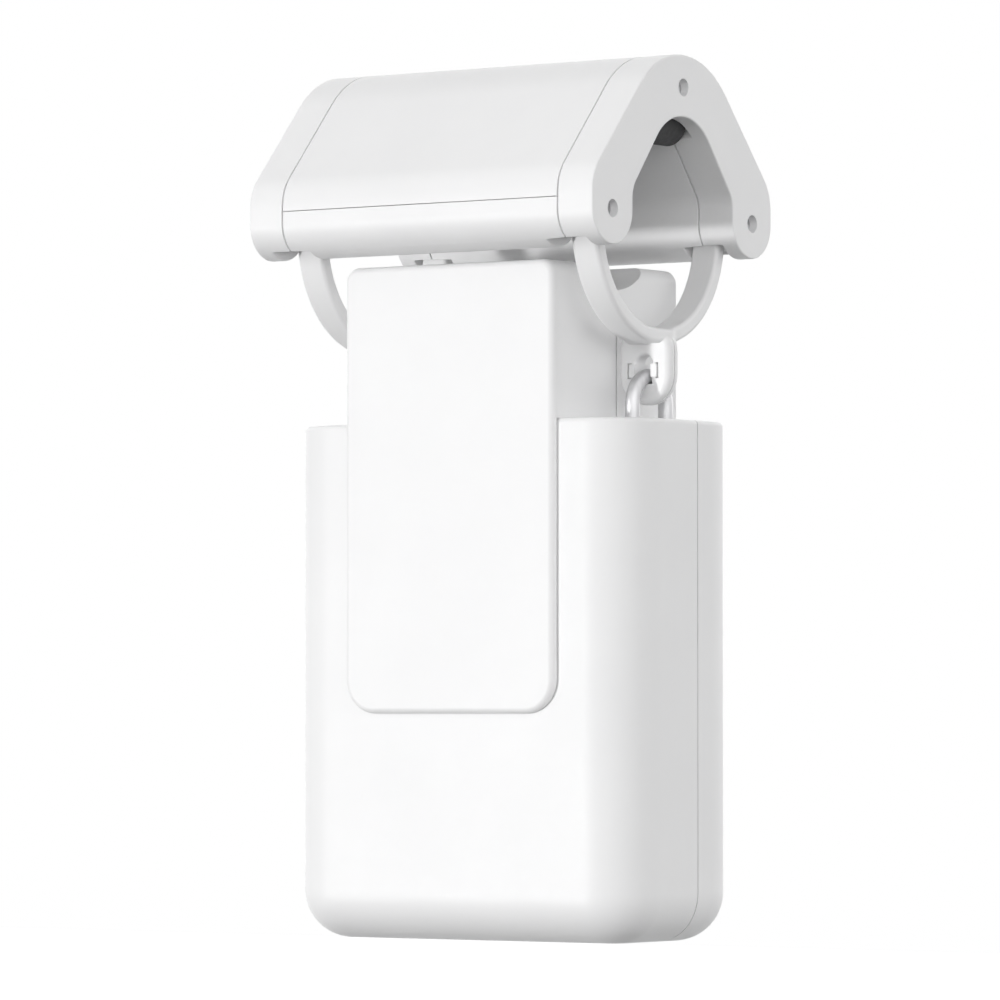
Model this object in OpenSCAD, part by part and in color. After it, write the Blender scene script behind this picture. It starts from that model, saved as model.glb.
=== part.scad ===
// Curtain robot that hangs on a round curtain rod.
// Millimetres. The origin is on the rod axis at the middle of the saddle,
// X runs along the rod, -Y is the front and Z is up.

/* [Curtain rod] */
// Diameter of the rod that the robot runs on
rod_d = 28; // [24:0.5:32]

/* [Saddle] */
// Length of the saddle along the rod
saddle_len = 86; // [78:1:100]
// Thickness of each end cap
cap_t = 8.5; // [7:0.5:11]
// Height of the crown above the rod
crown_over = 17.7; // [16:0.1:21]
// Radius of the crown
crown_r = 21; // [18:0.5:23]
// Distance of the lobe centres outside the rod surface
lobe_out = 11.5; // [10:0.1:14]
// Depth of the lobe centres below the rod axis
lobe_drop = 1.2; // [0:0.1:3]
// Radius of the lobes
lobe_r = 7.2; // [6:0.1:8]
// Radius of the shoulder between a flank and its lobe
shoulder_r = 9.5; // [8:0.1:11]
// Height of the shoulder centre above the lobe centre
shoulder_rise = 3.2; // [2:0.1:5]
// Gap between the rod and the top of the arch
arch_gap = 5; // [4:0.1:6]
// Radius of the arch
arch_r = 12; // [11:0.1:13.5]
// Radius of the bend from the arch flanks to the lobes
jamb_r = 5.5; // [4:0.1:7]
// Height of the centre of that bend above the lobe centre
jamb_rise = 2.6; // [2:0.1:3.5]
// Thickness of the top cover
cover_t = 2.2; // [1.6:0.1:3]
// Height of the cover seam above the rod axis
seam_z = 1.3; // [0:0.1:3]

/* [Idler rollers] */
// Outer radius of the idler rollers
idler_r = 4.4; // [4:0.1:4.7]
// Length of the idler rollers
idler_len = 16; // [10:0.5:18]
// Thickness of the rubber on the idler rollers
idler_tyre = 1.2; // [0.8:0.1:1.6]
// Radius of the idler axles
idler_axle_r = 1.5; // [1:0.1:2]
// Distance of each idler roller inside the end cap seam
idler_in = 0; // [0:0.5:8]

/* [Hoops] */
// Width of the hoop strap along the rod
hoop_w = 6.5; // [4:0.1:7]
// Thickness of the hoop strap
hoop_t = 3.2; // [2:0.1:4]
// Distance of the strap inside the eye
eye_offset = 3.3; // [2.5:0.1:4]
// Outer radius of the hoop eyes
eye_r = 3.6; // [3:0.1:4.2]
// Depth of the hoop centre below the rod axis
hoop_drop = 3.3; // [2:0.1:5]
// Width of the tab below a hoop
tab_w = 12.5; // [11:0.5:14]
// Thickness of the tab
tab_t = 4; // [3:0.1:5]
// Length of the tab below the hoop
tab_drop = 12.3; // [11.5:0.1:14]
// Height of the bar below the keyhole
bar_h = 4.3; // [3:0.1:4.6]
// Width of the keyhole
key_w = 4.9; // [4:0.1:6]
// Width of the recess across the keyhole
cross_w = 7.4; // [6.5:0.1:8.5]
// Height of the recess across the keyhole
cross_h = 3.4; // [3.3:0.1:4]
// Depth of the recess across the keyhole
cross_depth = 0.5; // [0.3:0.1:1]

/* [Hooks and springs] */
// Diameter of the hook wire
wire_d = 3.1; // [2.4:0.1:3.2]
// Shift of the hooks out from the middle of the room beside the neck
hook_out = 1; // [0:0.1:2]
// Distance between the two legs of a hook
hook_span = 12; // [11:0.5:14]
// Length of the springs at rest
spring_len = 26; // [22:0.5:32]
// Wire diameter of the springs
spring_wire = 0.8; // [0.6:0.1:0.9]
// Number of turns in a spring
spring_turns = 9; // [7:1:10]
// Thickness of the guide block above the springs
guide_block_h = 6; // [4:0.5:8]
// Thickness of the yoke at the foot of a hook
yoke_h = 4; // [3:0.5:5]
// Thickness of the shelf and web of a hook guide
guide_wall = 1.6; // [1.2:0.1:2]

/* [Case] */
// Width of the case
case_w = 87; // [85:0.5:96]
// Distance of the case front before the rod axis
case_front = 20.7; // [20:0.1:24]
// Distance of the case back behind the rod axis
case_back = 23.4; // [22:0.1:27]
// Height of the case
case_h = 106; // [104:0.5:120]
// Gap between the tabs and the case top
case_gap = 3.1; // [2:0.1:5]
// Radius of the front corners
case_front_r = 12; // [8:0.5:13]
// Radius of the back corners
case_back_r = 14; // [10:0.5:15]
// Radius of the bottom edge
case_base_r = 10; // [6:0.5:12]
// Thickness of the case walls
wall = 2.2; // [1.8:0.1:2.6]
// Distance of the case seam behind the rod axis
case_seam_y = 3.8; // [3.2:0.1:6]
// Radius of the case screw shanks
case_screw_r = 1.1; // [0.9:0.05:1.3]

/* [Neck and panel] */
// Width of the front panel
panel_w = 52.2; // [50:0.2:56]
// Thickness of the front panel
panel_t = 1.5; // [1:0.1:2.5]
// Depth of the panel top below the rod
panel_below_rod = -3.7; // [-5:0.1:-2]
// Height of the front panel
panel_h = 91.8; // [80:0.2:98]
// Radius of the lower corners of the panel
panel_r = 7; // [4:0.5:10]
// Step from the panel edge to the neck side
neck_inset = 0.4; // [0.2:0.1:1]
// Distance of the neck back behind the rod axis
neck_back = 23.1; // [22:0.1:26]
// Distance of the neck seam behind the rod axis
neck_seam_y = 0.7; // [0:0.1:2]
// Gap between the rod and the cradle on the neck
cradle_gap = 1.5; // [1:0.1:3]
// Height of the neck spigot inside the case
spigot_h = 7.6; // [5:0.1:9]

/* [Drive] */
// Radius of the drive wheel at the middle of its tread
wheel_r = 15; // [14:0.1:16]
// Width of the drive wheel
wheel_w = 12; // [8:0.5:12.5]
// Radius of the groove in the tread
groove_r = 18; // [16:0.5:24]
// Thickness of the rubber on the drive wheel
wheel_tyre = 2.5; // [1.5:0.1:3.5]
// Radius of the wheel shaft
wheel_shaft_r = 2; // [1.5:0.1:2.2]
// Outer radius of the wheel bushes
bush_r = 4; // [3.5:0.1:5]
// Module of the gears on the wheel shaft
wheel_module = 0.6; // [0.56:0.01:0.62]
// Teeth of the gear on the wheel shaft
wheel_teeth = 36; // [34:2:38]
// Teeth of the pinion that drives the wheel gear
second_pinion_teeth = 12; // [12:1:14]
// Module of the motor side gears
motor_module = 0.5; // [0.46:0.01:0.52]
// Teeth of the large gear of the second stage
second_teeth = 40; // [36:2:42]
// Teeth of the pinion of the first stage
first_pinion_teeth = 14; // [12:1:16]
// Teeth of the large gear of the first stage
first_teeth = 34; // [30:2:36]
// Teeth of the motor pinion
motor_teeth = 12; // [12:1:14]
// Face width of the gears
gear_w = 3; // [2:0.1:3.1]
// Radius of the gear axles
gear_axle_r = 1.2; // [0.9:0.05:1.4]
// Thickness of the gear plates
plate_t = 2; // [1.5:0.1:2.4]
// Half width of the gear plates
plate_half_w = 21.3; // [20:0.1:21.5]
// Radius of the motor
motor_r = 12; // [10:0.1:13]
// Length of the motor
motor_len = 20; // [16:0.5:24]
// Radius of the motor shaft
motor_shaft_r = 1; // [0.7:0.05:1.1]

/* [Power and control] */
// Radius of a battery cell
cell_r = 9.1; // [8:0.1:9.2]
// Length of a battery cell
cell_len = 65; // [55:0.5:66]
// Thickness of the circuit board
board_t = 1.6; // [1:0.1:2]
// Height of the circuit board
board_h = 32; // [28:0.5:36]
// Radius of the set button
button_r = 3; // [2.5:0.1:3.5]
// Travel of the set button
button_travel = 0.4; // [0.3:0.05:0.6]
// Distance of the set button from the middle
button_x = 15; // [12:0.5:18]
// Radius of the light pipe
light_r = 1.25; // [0.8:0.05:2]

/* [Hidden] */
$fn = 64;
fit = 0.05;          // running clearance on a radius
press = 0.01;        // clearance of a fixed pin in its hole
seam_gap = 0.2;      // gap between shells and covers
float_gap = 0.5;     // room beside a roller or gear
stop_gap = 0.1;      // gap at a stop
eps = 0.01;
hull_fn = 32;

rod_r = rod_d / 2;
crown_z = rod_r + crown_over;
lobe_y = rod_r + lobe_out;
lobe_z = -lobe_drop;
shoulder_y = lobe_y + lobe_r - shoulder_r;
shoulder_z = lobe_z + shoulder_rise;
arch_z = rod_r + arch_gap - arch_r;
jamb_y = lobe_y - lobe_r - jamb_r;
jamb_z = lobe_z + jamb_rise;
saddle_half = saddle_len / 2;
core_half = saddle_half - cap_t;

cap_screw_r = 1.25;
cap_head_r = 1.75;
cap_head_h = 1.2;
cap_head_depth = 1.8;
cap_screw_in = 12;
top_screw_z = crown_z - 6.7;

idler_x = core_half - idler_in;
idler_z = rod_r + idler_r;
idler_pocket_r = idler_r + float_gap;
idler_axle_len = idler_len + 8;

notch_w = hoop_w + 3;
notch_r = eye_r + 0.6;
hoop_mid_r = lobe_y - eye_offset;
hoop_out_r = hoop_mid_r + hoop_t / 2;
hoop_in_r = hoop_mid_r - hoop_t / 2;
hoop_bottom = -hoop_drop - hoop_out_r;
tab_bottom = hoop_bottom - tab_drop;
tab_top = hoop_bottom + hoop_t - 0.2;
tab_top_r = 4;
bar_top = tab_bottom + bar_h;
key_top = hoop_bottom - 1.5;

wire_r = wire_d / 2;
wire_z = bar_top + wire_r + fit;
bend_r = hook_span / 2;
bend_z = wire_z - bend_r;

case_top = tab_bottom - case_gap;
case_bottom = case_top - case_h;
case_half = case_w / 2;
inner_top = case_top - wall;
inner_bottom = case_bottom + wall;
inner_half = case_half - wall;
neck_half = panel_w / 2 - neck_inset;
beside_neck_x = (neck_half + inner_half) / 2 + hook_out;
hoop_x = (core_half + beside_neck_x) / 2;
block_bottom = inner_top - guide_block_h;
yoke_top = block_bottom - spring_len;
yoke_bottom = yoke_top - yoke_h;
shelf_top = yoke_bottom - stop_gap;
guide_outer = inner_half - stop_gap;
guide_half_y = hook_span / 2 + 2.8;
spring_room = 3.2;
web_x = hoop_x - spring_room;
guide_inner = web_x - guide_wall;
yoke_half_x = 2.4;
spring_r = wire_r + 0.35 + spring_wire / 2;
hook_hole_r = wire_r + 0.5;

panel_top = -rod_r - panel_below_rod;
panel_back_y = -case_front - seam_gap;
panel_front_y = panel_back_y - panel_t;
panel_top_r = 3;
neck_in_half = neck_half - wall;
cradle_r = rod_r + cradle_gap;
spigot_t = 1.6;
spigot_half = plate_half_w + seam_gap + spigot_t;
spigot_front = case_front - wall - seam_gap;
spigot_back = neck_back - wall - seam_gap;
spigot_bottom = case_top - spigot_h;

wheel_z = -rod_r - wheel_r;
wheel_edge_r = wheel_r + groove_r - sqrt(groove_r * groove_r - wheel_w * wheel_w / 4);
wheel_gear_r = wheel_module * wheel_teeth / 2;
second_z = wheel_z - wheel_gear_r - wheel_module * second_pinion_teeth / 2;
first_z = second_z - motor_module * (second_teeth + first_pinion_teeth) / 2;
motor_z = first_z - motor_module * (first_teeth + motor_teeth) / 2;
mid_y = wheel_w / 2 + 0.8;
gear_y1 = mid_y + plate_t + float_gap;
gear_y2 = gear_y1 + gear_w + float_gap;
rear_y = gear_y2 + gear_w + float_gap;
front_y = -wheel_w / 2 - 1.5 - plate_t;
plate_top = -rod_r - 6;
front_plate_bottom = wheel_z - 18;
rear_plate_bottom = first_z - 8;
mid_plate_bottom = motor_z - motor_r - 3;
standoff_r = 2;
motor_boss_r = 3.4;
standoff_x = wheel_edge_r + standoff_r + 1;
standoff_low_z = first_z - 4;
standoff_top_z = plate_top - 4;

screw_boss_r = 2.6;
screw_x = plate_half_w + screw_boss_r + 0.6;
screw_head_r = 2.2;
screw_head_h = 1.6;
screw_zs = [case_top - 14, mid_plate_bottom - 1.5];

cell_gap = 0.4;
cell_mid_y = (case_back - case_front) / 2 - 0.4;
cell_ys = [cell_mid_y - cell_r - cell_gap / 2, cell_mid_y + cell_r + cell_gap / 2];
board_bottom = inner_bottom + 2.3;
board_top = board_bottom + board_h;
tray_base = 3;
cell_z = board_top + tray_base + cell_r;
tray_side = 5;
tray_end_t = 1.4;
tray_half = cell_len / 2 + stop_gap + tray_end_t;
leg_w = 5;
board_half = 24;
leg_x = board_half - 1.5;
board_front = 1;
port_w = 8.94;
port_t = 3.26;
port_h = 7.35;
port_y = board_front - port_t / 2;
control_y = board_front - 1.9;
light_x = -button_x + 1;
button_flange = 0.8;
button_sink = 0.3;
flange_h = 1;
button_top = inner_bottom + stop_gap + flange_h;
switch_size = [6, 3.8, 3.6];
plunger_r = 1.2;
plunger_h = 0.6;
switch_bottom = button_top + button_travel + stop_gap + plunger_h;

pressure_angle = 25;
addendum = 0.8;
dedendum = 1.05;
backlash = 0.06;

white = "whitesmoke";
grey = "gainsboro";
dark = "dimgray";
steel = "silver";

// Helpers

// Angle of the outward normal of the outer tangent from circle a to circle b, each [x, y, r]
function tangent_angle(a, b) =
    atan2(b.y - a.y, b.x - a.x) - 90 + asin((a.z - b.z) / norm([b.x - a.x, b.y - a.y]));

// Point of a circle at an angle
function rim(c, angle) = [c.x + c.z * cos(angle), c.y + c.z * sin(angle)];

// Filled belt round circles that are listed counter-clockwise
module belt(circles) {
    n = len(circles);
    polygon([for (i = [0 : n - 1], end = [0, 1])
        rim(circles[(i + end) % n], tangent_angle(circles[i], circles[(i + 1) % n]))]);
    for (c = circles)
        translate([c.x, c.y])
            circle(r = c.z);
}

// A section in the YZ plane, extruded along X from x0 to x1
module along_x(x0, x1) {
    translate([x0, 0, 0])
        rotate([90, 0, 90])
            linear_extrude(x1 - x0)
                children();
}

// A section in the XZ plane, extruded along Y from y0 to y1
module along_y(y0, y1) {
    translate([0, y1, 0])
        rotate([90, 0, 0])
            linear_extrude(y1 - y0)
                children();
}

// A round bar along X
module bar_x(r, x0, x1, y, z) {
    translate([x0, y, z])
        rotate([0, 90, 0])
            cylinder(r = r, h = x1 - x0);
}

// A round bar along Y
module bar_y(r, y0, y1, x, z) {
    translate([x, y1, z])
        rotate([90, 0, 0])
            cylinder(r = r, h = y1 - y0);
}

// A box between two corners
module box(low, high) {
    translate(low)
        cube(high - low);
}

// A rectangle between two corners with rounded corners of one radius
module round_rect(low, high, r) {
    translate([low.x + r, low.y])
        square([high.x - low.x - 2 * r, high.y - low.y]);
    translate([low.x, low.y + r])
        square([high.x - low.x, high.y - low.y - 2 * r]);
    for (x = [low.x + r, high.x - r], y = [low.y + r, high.y - r])
        translate([x, y])
            circle(r = r);
}

// Involute helpers: roll angle at a radius, and the polar angle that it adds
function roll(base, r) = sqrt(max(0, r * r / (base * base) - 1));
function involute(base, r) = roll(base, r) * 180 / PI - atan(roll(base, r));

// Outline of a gear with a tooth centred at the given angle
module gear_outline(teeth, pitch_module, tooth_at) {
    pitch = teeth * pitch_module / 2;
    base = pitch * cos(pressure_angle);
    root = pitch - dedendum * pitch_module;
    tip = pitch + addendum * pitch_module;
    half = (90 / teeth) - backlash * 180 / PI / pitch + involute(base, pitch);
    radii = [root, max(root + eps, base), (pitch + max(root, base)) / 2, pitch, (pitch + tip) / 2, tip];
    flank = [for (r = radii) [r, half - involute(base, max(r, base))]];
    last = len(flank) - 1;
    polygon([for (t = [0 : teeth - 1], i = [0 : 2 * last + 1])
        let (
            side = i <= last ? -1 : 1,
            p = flank[i <= last ? i : 2 * last + 1 - i],
            angle = tooth_at + t * 360 / teeth + side * p[1]
        )
        p[0] * [cos(angle), sin(angle)]]);
}

// A gear about Y at height z, with a bore
module gear_y(teeth, pitch_module, tooth_at, y0, z, bore) {
    difference() {
        translate([0, 0, z])
            along_y(y0, y0 + gear_w)
                gear_outline(teeth, pitch_module, tooth_at);
        bar_y(bore, y0 - 1, y0 + gear_w + 1, 0, z);
    }
}

// One unbroken coil of wire that stands on z = 0
module coil(r, wire, turns, height) {
    sides = 6;
    steps = 8 * turns;
    rise = (height - wire) / steps;
    points = [for (i = [0 : steps], s = [0 : sides - 1])
        let (turn = 45 * i, a = 360 * s / sides, across = r + wire / 2 * cos(a))
        [across * cos(turn), across * sin(turn), wire / 2 + rise * i + wire / 2 * sin(a)]];
    skin = [for (i = [0 : steps - 1], s = [0 : sides - 1], upper = [0, 1])
        let (a = i * sides + s, b = i * sides + (s + 1) % sides)
        upper ? [b, b + sides, a + sides] : [a, b, a + sides]];
    first = [for (s = [1 : sides - 2]) [0, s + 1, s]];
    top = steps * sides;
    final = [for (s = [1 : sides - 2]) [top, top + s, top + s + 1]];
    polyhedron(points, concat(skin, first, final));
}
echo(spring_gap = (spring_len - spring_wire) / spring_turns - spring_wire);

// Saddle

// Circles of the outer outline of the saddle, each drawn in by a margin
function saddle_circles(margin) = [
    [lobe_y, lobe_z, lobe_r - margin],
    [shoulder_y, shoulder_z, shoulder_r - margin],
    [0, crown_z - crown_r, crown_r - margin],
    [-shoulder_y, shoulder_z, shoulder_r - margin],
    [-lobe_y, lobe_z, lobe_r - margin]];

// Opening of the arch: the arch circle, the bends of the flanks and the space between and below the lobes
module arch_cut() {
    inner = lobe_y - lobe_r;
    below = lobe_z - 2 * lobe_r;
    belt([[jamb_y, jamb_z, jamb_r], [0, arch_z, arch_r], [-jamb_y, jamb_z, jamb_r]]);
    translate([-inner, below])
        square([2 * inner, jamb_z - below]);
    difference() {
        translate([-lobe_y, below])
            square([2 * lobe_y, lobe_z - below]);
        for (side = [-1, 1])
            translate([side * lobe_y, lobe_z])
                circle(r = lobe_r);
    }
}

module saddle_section(margin) {
    difference() {
        belt(saddle_circles(margin));
        arch_cut();
    }
}

// Everything above the cover seam, in the YZ plane
module above_seam() {
    translate([-2 * lobe_y, seam_z])
        square([4 * lobe_y, 2 * crown_z]);
}

// The three screw axes of an end cap, as [y, z]
cap_screw_axes = [[0, top_screw_z], [-lobe_y, lobe_z], [lobe_y, lobe_z]];

// Room for a hoop eye and its strap in the lobes, at one end of the core
module hoop_notches(side) {
    for (y = [-1, 1]) {
        bar_x(notch_r, side * hoop_x - notch_w / 2, side * hoop_x + notch_w / 2, y * lobe_y, lobe_z);
        box([side * hoop_x - notch_w / 2, min(y * (hoop_in_r - 0.6), y * (lobe_y + notch_r)),
                lobe_z - 2 * lobe_r],
            [side * hoop_x + notch_w / 2, max(y * (hoop_in_r - 0.6), y * (lobe_y + notch_r)), lobe_z]);
    }
}

// Room for an idler roller and its axle, at one end of the core
module idler_room(side) {
    half = idler_len / 2 + float_gap;
    bar_y(idler_pocket_r, -half, half, side * idler_x, idler_z);
    box([side * idler_x - idler_pocket_r, -half, 0], [side * idler_x + idler_pocket_r, half, idler_z]);
    bar_y(idler_axle_r + press, -idler_axle_len / 2, idler_axle_len / 2, side * idler_x, idler_z);
}

module saddle_cover() {
    color(white)
        along_x(-core_half, core_half)
            difference() {
                intersection() {
                    saddle_section(0);
                    above_seam();
                }
                belt(saddle_circles(cover_t));
            }
}

module saddle_chassis() {
    color(white)
        difference() {
            along_x(-core_half, core_half)
                difference() {
                    saddle_section(0);
                    difference() {
                        translate([0, -seam_gap])
                            above_seam();
                        belt(saddle_circles(cover_t + seam_gap));
                    }
                }
            for (side = [-1, 1]) {
                hoop_notches(side);
                idler_room(side);
                for (axis = cap_screw_axes)
                    bar_x(cap_screw_r + press, side * core_half - cap_screw_in - 1,
                        side * core_half + cap_screw_in + 1, axis[0], axis[1]);
            }
        }
}

module end_cap(side) {
    inner = side * core_half;
    outer = side * saddle_half;
    color(white)
        difference() {
            along_x(min(inner, outer), max(inner, outer))
                saddle_section(0);
            hoop_notches(side);
            idler_room(side);
            for (axis = cap_screw_axes) {
                bar_x(cap_screw_r + press, min(inner, outer) - 1, max(inner, outer) + 1, axis[0], axis[1]);
                bar_x(cap_head_r + fit, min(outer, outer - side * (cap_head_depth + cap_head_h)),
                    max(outer, outer - side * (cap_head_depth + cap_head_h)), axis[0], axis[1]);
            }
        }
}

module end_cap_left() {
    end_cap(-1);
}

module end_cap_right() {
    end_cap(1);
}

// A hexagon socket screw from the outer face of each cap into the core.
// The two in the lobes are also the pivots of the hoops.
module end_cap_screws() {
    head_in = cap_head_depth + cap_head_h;
    socket_r = 0.9;
    color(steel)
        for (side = [0, 180], axis = cap_screw_axes)
            rotate([0, 0, side])
                difference() {
                    union() {
                        bar_x(cap_head_r, saddle_half - head_in, saddle_half - cap_head_depth,
                            axis[0], axis[1]);
                        bar_x(cap_screw_r, core_half - cap_screw_in, saddle_half - head_in,
                            axis[0], axis[1]);
                    }
                    translate([saddle_half - head_in + cap_head_h / 2, axis[0], axis[1]])
                        rotate([0, 90, 0])
                            cylinder(r = socket_r, h = cap_head_h, $fn = 6);
                }
}

// Idler rollers

module idler_axles() {
    color(steel)
        for (side = [-1, 1])
            bar_y(idler_axle_r, -idler_axle_len / 2, idler_axle_len / 2, side * idler_x, idler_z);
}

module idler_core(side) {
    color(grey)
        difference() {
            bar_y(idler_r - idler_tyre, -idler_len / 2, idler_len / 2, side * idler_x, idler_z);
            bar_y(idler_axle_r + fit, -idler_len, idler_len, side * idler_x, idler_z);
        }
}

module idler_tyre(side) {
    edge = 1;
    color(dark)
        difference() {
            bar_y(idler_r, edge - idler_len / 2, idler_len / 2 - edge, side * idler_x, idler_z);
            bar_y(idler_r - idler_tyre + press, -idler_len, idler_len, side * idler_x, idler_z);
        }
}

module idler_core_left() {
    idler_core(-1);
}

module idler_tyre_left() {
    idler_tyre(-1);
}

module idler_core_right() {
    idler_core(1);
}

module idler_tyre_right() {
    idler_tyre(1);
}

// Hoops and hooks

module hoop_profile() {
    difference() {
        circle(r = hoop_out_r);
        circle(r = hoop_in_r);
        translate([-2 * hoop_out_r, 0])
            square([4 * hoop_out_r, 2 * hoop_out_r]);
    }
    for (side = [-1, 1])
        translate([side * hoop_mid_r - hoop_t / 2, -eps])
            square([hoop_t, hoop_drop + lobe_z + eps]);
}

module hoop(side) {
    x = side * hoop_x;
    snap_w = 2 * cap_screw_r - 0.3;
    color(white)
        difference() {
            union() {
                translate([0, 0, -hoop_drop])
                    along_x(x - hoop_w / 2, x + hoop_w / 2)
                        hoop_profile();
                for (y = [-1, 1])
                    bar_x(eye_r, x - hoop_w / 2, x + hoop_w / 2, y * lobe_y, lobe_z);
                along_y(-tab_t / 2, tab_t / 2)
                    translate([x, 0])
                        belt([[0, tab_bottom + tab_w / 2, tab_w / 2],
                            [tab_w / 2 - tab_top_r, tab_top - tab_top_r, tab_top_r],
                            [tab_top_r - tab_w / 2, tab_top - tab_top_r, tab_top_r]]);
            }
            along_y(-tab_t, tab_t)
                union() {
                    translate([x, key_top - key_w / 2])
                        circle(r = key_w / 2);
                    translate([x - key_w / 2, bar_top])
                        square([key_w, key_top - key_w / 2 - bar_top]);
                }
            for (y = [-tab_t / 2, tab_t / 2])
                box([x - cross_w / 2, y - cross_depth, bar_top],
                    [x + cross_w / 2, y + cross_depth, bar_top + cross_h]);
            for (y = [-1, 1])
                bar_x(cap_screw_r + fit, x - hoop_w, x + hoop_w, y * lobe_y, lobe_z);
            box([x - hoop_w, lobe_y, lobe_z - snap_w / 2],
                [x + hoop_w, lobe_y + 2 * eye_r, lobe_z + snap_w / 2]);
        }
}

module hoop_left() {
    hoop(-1);
}

module hoop_right() {
    hoop(1);
}

module hook(side) {
    color(steel)
        translate([side * hoop_x, 0, 0]) {
            translate([0, 0, bend_z])
                rotate([90, 0, 90])
                    rotate_extrude(angle = 180)
                        translate([bend_r, 0])
                            circle(r = wire_r);
            for (y = [-bend_r, bend_r])
                translate([0, y, yoke_bottom])
                    cylinder(r = wire_r, h = bend_z - yoke_bottom);
        }
}

module hook_left() {
    hook(-1);
}

module hook_right() {
    hook(1);
}

module hook_yokes() {
    color(steel)
        for (side = [-1, 1])
            difference() {
                box([side * hoop_x - yoke_half_x, -guide_half_y, yoke_bottom],
                    [side * hoop_x + yoke_half_x, guide_half_y, yoke_top]);
                for (y = [-bend_r, bend_r])
                    translate([side * hoop_x, y, yoke_bottom - 1])
                        cylinder(r = wire_r + press, h = yoke_h + 2);
            }
}

module hook_springs() {
    color(steel)
        for (side = [-1, 1], y = [-bend_r, bend_r])
            translate([side * hoop_x, y, yoke_top + stop_gap])
                coil(spring_r, spring_wire, spring_turns, spring_len - 2 * stop_gap);
}

// A block with the two hook bores, a shelf below the yoke and a web between them
module hook_guide(side) {
    color(grey)
        mirror([side < 0 ? 1 : 0, 0, 0])
            difference() {
                union() {
                    box([guide_inner, -guide_half_y, block_bottom], [guide_outer, guide_half_y, inner_top]);
                    box([guide_inner, -guide_half_y, shelf_top - guide_wall],
                        [guide_outer, guide_half_y, shelf_top]);
                    box([guide_inner, -guide_half_y, shelf_top - guide_wall],
                        [web_x, guide_half_y, inner_top]);
                }
                for (y = [-bend_r, bend_r])
                    translate([hoop_x, y, block_bottom - 1])
                        cylinder(r = wire_r + fit, h = guide_block_h + 2);
            }
}

module hook_guide_left() {
    hook_guide(-1);
}

module hook_guide_right() {
    hook_guide(1);
}

// Case, neck and panel

// Corner of the case with its bottom edge, drawn in by a margin
module case_corner(r, base_r, margin) {
    edge = base_r - margin;
    rotate_extrude($fn = hull_fn)
        polygon(concat(
            [[0, case_top - margin], [0, case_bottom + margin]],
            [for (i = [0 : 8]) [r - base_r + edge * sin(90 * i / 8), case_bottom + base_r - edge * cos(90 * i / 8)]],
            [[r - base_r + edge, case_top - margin]]));
}

// Rounded case body, drawn in by a margin
module case_body(margin) {
    hull()
        for (side = [-1, 1]) {
            translate([side * (case_half - case_front_r), case_front_r - case_front, 0])
                case_corner(case_front_r, min(case_base_r, case_front_r), margin);
            translate([side * (case_half - case_back_r), case_back - case_back_r, 0])
                case_corner(case_back_r, min(case_base_r, case_back_r), margin);
        }
}

module case_skin() {
    difference() {
        case_body(0);
        case_body(wall);
        box([-spigot_half - seam_gap, -spigot_front - seam_gap, inner_top - 1],
            [spigot_half + seam_gap, spigot_back + seam_gap, case_top + 1]);
        for (side = [-1, 1], y = [-bend_r, bend_r])
            translate([side * hoop_x, y, inner_top - 1])
                cylinder(r = hook_hole_r, h = wall + 2);
    }
}

module case_front_shell() {
    color(white)
        difference() {
            union() {
                intersection() {
                    case_skin();
                    box([-case_w, -2 * case_front, case_bottom - 1], [case_w, case_seam_y, case_top + 1]);
                }
                for (side = [-1, 1], z = screw_zs)
                    bar_y(screw_boss_r, -case_front + wall - eps, case_seam_y, side * screw_x, z);
            }
            for (side = [-1, 1], z = screw_zs)
                bar_y(case_screw_r + press, -case_front + wall + 2, case_seam_y + 1, side * screw_x, z);
            translate([0, 0, case_bottom - 1])
                linear_extrude(wall + 2)
                    round_rect([-port_w / 2 - seam_gap, port_y - port_t / 2 - seam_gap],
                        [port_w / 2 + seam_gap, port_y + port_t / 2 + seam_gap], port_t / 2);
            translate([button_x, control_y, case_bottom - 1])
                cylinder(r = button_r + 0.3, h = wall + 2);
            translate([light_x, control_y, case_bottom - 1])
                cylinder(r = light_r + fit, h = wall + 2);
        }
}

module case_rear_shell() {
    color(white)
        difference() {
            union() {
                intersection() {
                    case_skin();
                    box([-case_w, case_seam_y + eps, case_bottom - 1], [case_w, 2 * case_back, case_top + 1]);
                }
                for (side = [-1, 1], z = screw_zs)
                    bar_y(screw_boss_r, case_seam_y + eps, case_back - wall + eps, side * screw_x, z);
            }
            for (side = [-1, 1], z = screw_zs) {
                bar_y(case_screw_r + fit, case_seam_y - 1, case_back + 1, side * screw_x, z);
                bar_y(screw_head_r + fit, case_back - screw_head_h - 0.6, case_back + 1, side * screw_x, z);
            }
        }
}

module case_screws() {
    socket_r = 1.1;
    head_y = case_back - screw_head_h - 0.6;
    color(steel)
        for (side = [-1, 1], z = screw_zs)
            difference() {
                union() {
                    bar_y(screw_head_r, head_y, head_y + screw_head_h, side * screw_x, z);
                    bar_y(case_screw_r, -case_front / 2, head_y, side * screw_x, z);
                }
                translate([side * screw_x, head_y + screw_head_h + 1, z])
                    rotate([90, 0, 0])
                        cylinder(r = socket_r, h = 1 + screw_head_h / 2, $fn = 6);
            }
}

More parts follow.
